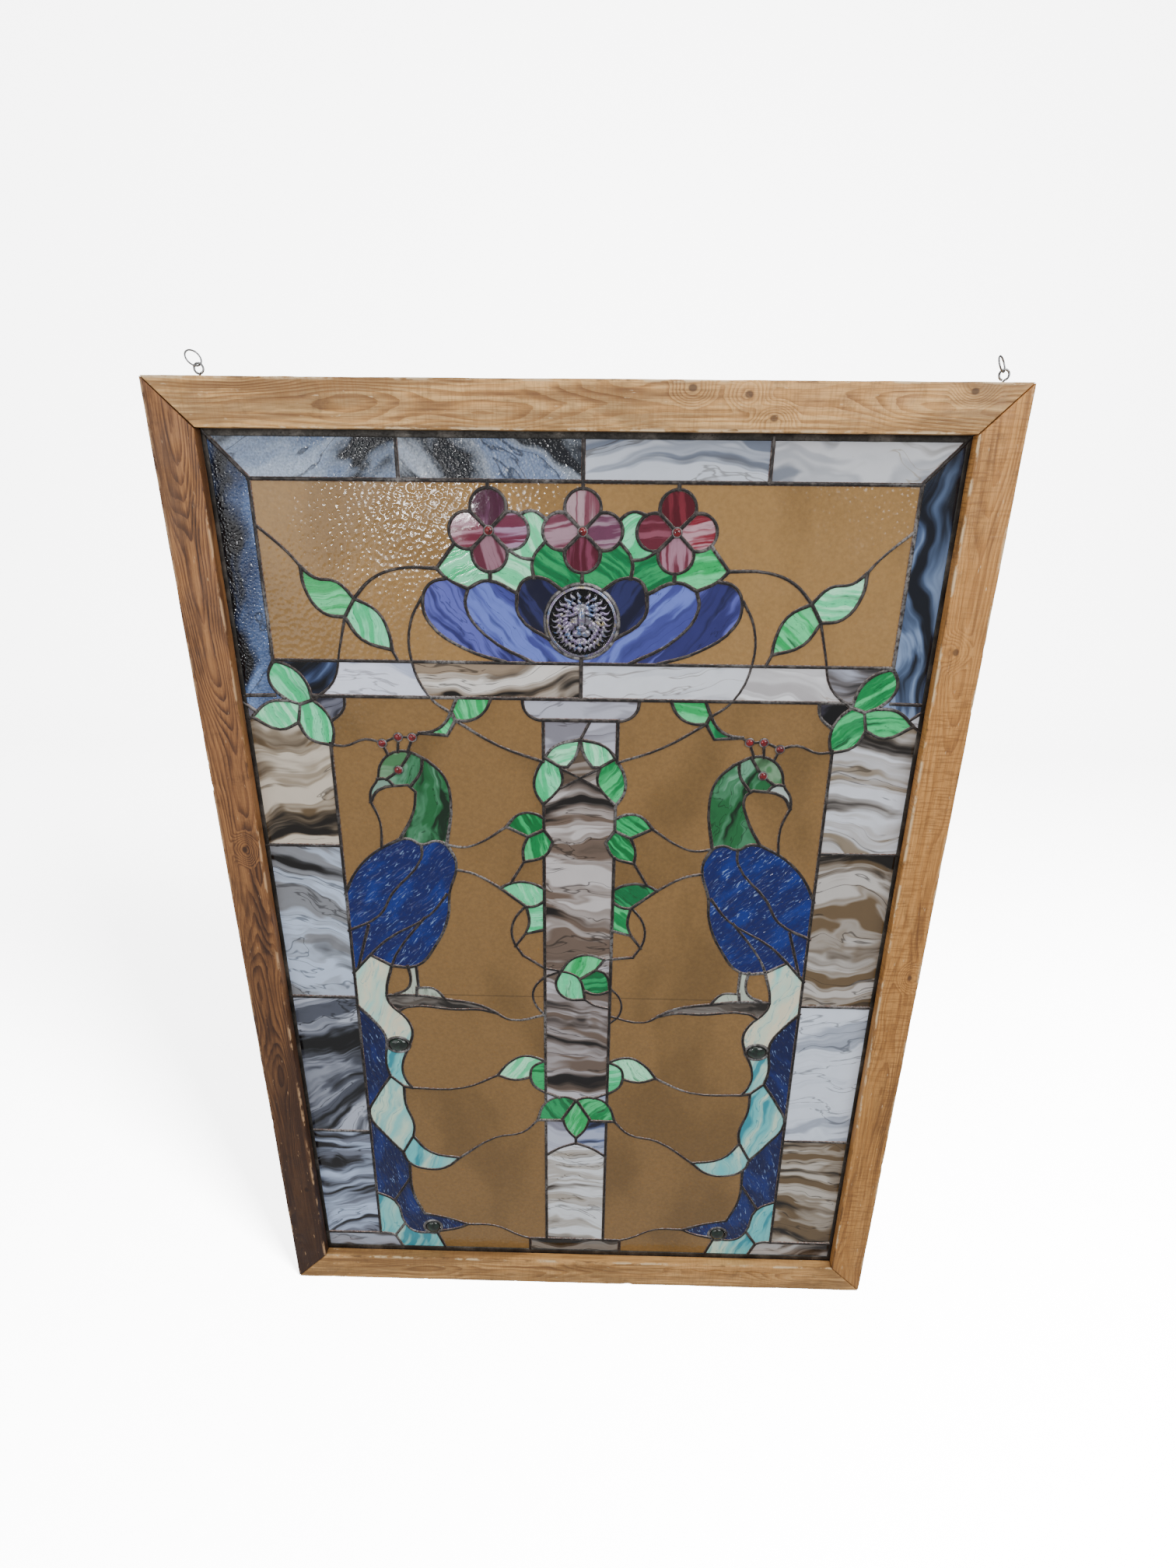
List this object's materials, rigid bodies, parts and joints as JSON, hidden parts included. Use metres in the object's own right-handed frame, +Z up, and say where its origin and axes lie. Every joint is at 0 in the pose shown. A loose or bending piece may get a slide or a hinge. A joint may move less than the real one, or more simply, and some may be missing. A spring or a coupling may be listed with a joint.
{
  "type": "stained glass window",
  "caption": "Hanging stained glass panel with paired peacocks, a vine on a column and a flower bowl, in a mitred wooden frame with screw eyes and wire loops.",
  "frame": {"origin": "the hanging line: on the centreline of the frame, half way through its depth, level with the top of the two wire loops", "axes": "+Z up, +X to the viewer's right, -Y out of the front of the window"},
  "size_m": [1, 0.044, 1.4685],
  "materials": {
    "dark_wood": "waxed, dark reddish brown with strong flame grain and pale worn edges",
    "golden_wood": "waxed golden brown, knotty, worn and stained",
    "solder": "dark patina on tin solder and zinc came, with bare copper at the edges",
    "steel_wire": "bare steel wire",
    "lustre_glass": "pressed near-black glass with an iridescent surface",
    "black_glass": "near-black green, glossy",
    "amber_glass": "hammered amber, glossy",
    "opal_glass": "streaky opalescent white, grey, tan and blue, glossy",
    "leaf_glass": "streaky mint to emerald, glossy",
    "petal_glass": "rose, mauve and crimson, glossy",
    "periwinkle_glass": "periwinkle to indigo, glossy",
    "neck_glass": "mottled green, olive and white, glossy",
    "cobalt_glass": "dark cobalt, rippled, glossy",
    "cream_glass": "cream and turquoise opal, glossy",
    "grey_glass": "marbled grey-brown, glossy",
    "ruby_glass": "clear red, faceted, glossy"
  },
  "bodies": {
    "root": {"board_bottom": "golden_wood", "board_left": "dark_wood", "board_right": "golden_wood", "board_top": "golden_wood", "came_and_solder": "solder", "glass_amber_lower_left": "amber_glass", "glass_amber_lower_right": "amber_glass", "glass_amber_top": "amber_glass", "glass_base_block": "grey_glass", "glass_border": "opal_glass", "glass_bowl_left": "periwinkle_glass", "glass_bowl_right": "periwinkle_glass", "glass_column_lower": "opal_glass", "glass_column_upper": "opal_glass", "glass_flower_left": "petal_glass", "glass_flower_middle": "petal_glass", "glass_flower_right": "petal_glass", "glass_leaves_below_flowers": "leaf_glass", "glass_leaves_below_lintel_left": "leaf_glass", "glass_leaves_below_lintel_right": "leaf_glass", "glass_leaves_border_corner_left": "leaf_glass", "glass_leaves_border_corner_right": "leaf_glass", "glass_leaves_breast_left": "leaf_glass", "glass_leaves_breast_right": "leaf_glass", "glass_leaves_column_low": "leaf_glass", "glass_leaves_column_middle": "leaf_glass", "glass_leaves_low_left": "leaf_glass", "glass_leaves_low_right": "leaf_glass", "glass_leaves_shoulder_left": "leaf_glass", "glass_leaves_shoulder_right": "leaf_glass", "glass_leaves_top_vine_left": "leaf_glass", "glass_leaves_top_vine_right": "leaf_glass", "glass_leaves_wreath_left": "leaf_glass", "glass_leaves_wreath_right": "leaf_glass", "glass_leg_and_branch_left": "grey_glass", "glass_leg_and_branch_right": "grey_glass", "glass_lintel_and_capital": "opal_glass", "glass_peacock_body_left": "cobalt_glass", "glass_peacock_body_right": "cobalt_glass", "glass_peacock_head_left": "neck_glass", "glass_peacock_head_right": "neck_glass", "glass_tail_foot_left": "cream_glass", "glass_tail_foot_right": "cream_glass", "glass_tail_lower_left": "cream_glass", "glass_tail_lower_right": "cream_glass", "glass_tail_side_lower_left": "cobalt_glass", "glass_tail_side_lower_right": "cobalt_glass", "glass_tail_side_upper_left": "cobalt_glass", "glass_tail_side_upper_right": "cobalt_glass", "glass_tail_upper_left": "cream_glass", "glass_tail_upper_right": "cream_glass", "hanging_loop_left": "steel_wire", "hanging_loop_right": "steel_wire", "lion_medallion": "lustre_glass", "screw_eye_left": "steel_wire", "screw_eye_right": "steel_wire", "tail_nugget_left": "black_glass", "tail_nugget_right": "black_glass", "tail_oval_left": "black_glass", "tail_oval_right": "black_glass"}
  },
  "joints": []
}
